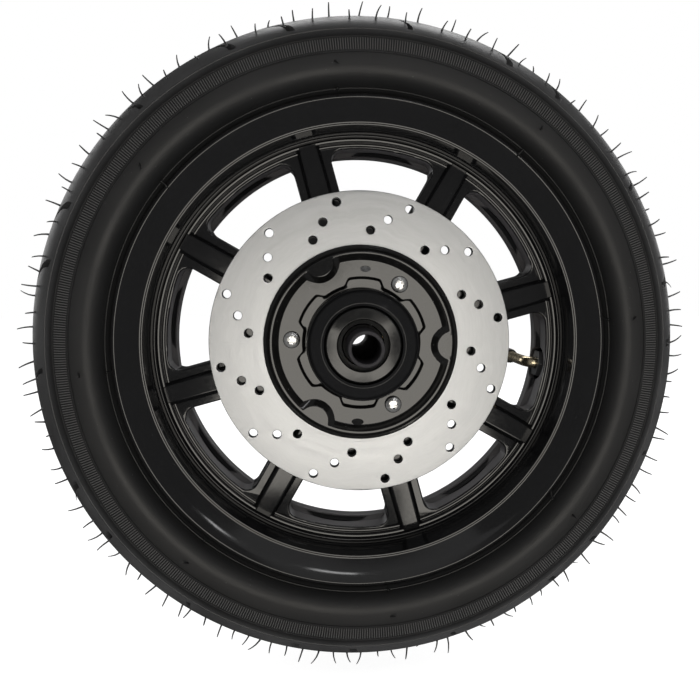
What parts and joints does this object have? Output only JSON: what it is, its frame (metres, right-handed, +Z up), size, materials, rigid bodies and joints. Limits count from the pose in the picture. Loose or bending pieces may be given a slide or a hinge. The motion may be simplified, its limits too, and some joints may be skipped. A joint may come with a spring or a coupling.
{
  "type": "scooter wheel with disc brake rotor",
  "caption": "Pneumatic scooter wheel: tubed tyre on a cast eight-spoke wheel with a drilled brake disc, cover plate and ball-bearing hub on a through-axle bore.",
  "frame": {"origin": "centre of the wheel on the axle line, midway between the ends of the two side spacers", "axes": "+Y along the axle away from the brake disc's side, +Z up, +X to the right as seen from the disc's side"},
  "size_m": [0.3, 0.11, 0.3],
  "materials": {
    "tyre": "satin grey-black rubber with fine radial serrations",
    "tube_rubber": "smooth black butyl",
    "black_gloss_casting": "gloss black paint over cast aluminium",
    "black_gloss_plate": "gloss black paint",
    "disc_steel": "ground with fine swirl marks",
    "zinc_steel": "bright zinc plating",
    "bearing_steel": "polished bearing steel",
    "cage_brass": "pressed",
    "seal_rubber": "matte black",
    "dark_steel": "dark oxide",
    "black_plastic": "moulded black",
    "valve_brass": "pale brass"
  },
  "bodies": {
    "axle_set": {"centre_spacer": "dark_steel", "disc_side_spacer": "dark_steel", "far_side_spacer": "dark_steel", "disc_side_bearing_inner_race": "bearing_steel", "far_side_bearing_inner_race": "bearing_steel"},
    "wheel": {"tyre": "tyre", "inner_tube": "tube_rubber", "wheel_rim": "black_gloss_casting", "wheel_hub": "black_gloss_casting", "wheel_spoke_1": "black_gloss_casting", "wheel_spoke_2": "black_gloss_casting", "wheel_spoke_3": "black_gloss_casting", "wheel_spoke_4": "black_gloss_casting", "wheel_spoke_5": "black_gloss_casting", "wheel_spoke_6": "black_gloss_casting", "wheel_spoke_7": "black_gloss_casting", "wheel_spoke_8": "black_gloss_casting", "brake_disc": "disc_steel", "disc_cover_plate": "black_gloss_plate", "disc_screw_1": "zinc_steel", "disc_screw_2": "zinc_steel", "disc_screw_3": "zinc_steel", "disc_side_bearing_outer_race": "bearing_steel", "disc_side_bearing_near_seal": "seal_rubber", "disc_side_bearing_far_seal": "seal_rubber", "far_side_bearing_outer_race": "bearing_steel", "far_side_bearing_near_seal": "seal_rubber", "far_side_bearing_far_seal": "seal_rubber", "disc_side_dust_cover": "black_plastic", "far_side_dust_cover": "black_plastic", "valve_stem": "valve_brass", "valve_core": "zinc_steel", "valve_nut": "black_plastic"},
    "disc_side_ball_ring": {"disc_side_bearing_cage": "cage_brass", "disc_side_bearing_ball_1": "bearing_steel", "disc_side_bearing_ball_2": "bearing_steel", "disc_side_bearing_ball_3": "bearing_steel", "disc_side_bearing_ball_4": "bearing_steel", "disc_side_bearing_ball_5": "bearing_steel", "disc_side_bearing_ball_6": "bearing_steel", "disc_side_bearing_ball_7": "bearing_steel"},
    "far_side_ball_ring": {"far_side_bearing_cage": "cage_brass", "far_side_bearing_ball_1": "bearing_steel", "far_side_bearing_ball_2": "bearing_steel", "far_side_bearing_ball_3": "bearing_steel", "far_side_bearing_ball_4": "bearing_steel", "far_side_bearing_ball_5": "bearing_steel", "far_side_bearing_ball_6": "bearing_steel", "far_side_bearing_ball_7": "bearing_steel"},
    "valve_cap": {"valve_cap": "black_plastic"}
  },
  "joints": [
    {"name": "wheel_spin", "type": "hinge", "parent": "axle_set", "child": "wheel", "pos_m": [0, 0, 0], "axis": [0, 1, 0], "continuous": true},
    {"name": "disc_side_balls_run", "type": "hinge", "parent": "axle_set", "child": "disc_side_ball_ring", "pos_m": [0, -0.026, 0], "axis": [0, 1, 0], "continuous": true},
    {"name": "far_side_balls_run", "type": "hinge", "parent": "axle_set", "child": "far_side_ball_ring", "pos_m": [0, 0.026, 0], "axis": [0, 1, 0], "continuous": true},
    {"name": "valve_cap_off", "type": "slide", "parent": "wheel", "child": "valve_cap", "axis": [0, 1, 0], "range_m": [0, 0.008]}
  ],
  "couplings": [
    {"joint": "disc_side_balls_run", "follows": "wheel_spin", "ratio": 0.6352},
    {"joint": "far_side_balls_run", "follows": "wheel_spin", "ratio": 0.6352}
  ]
}
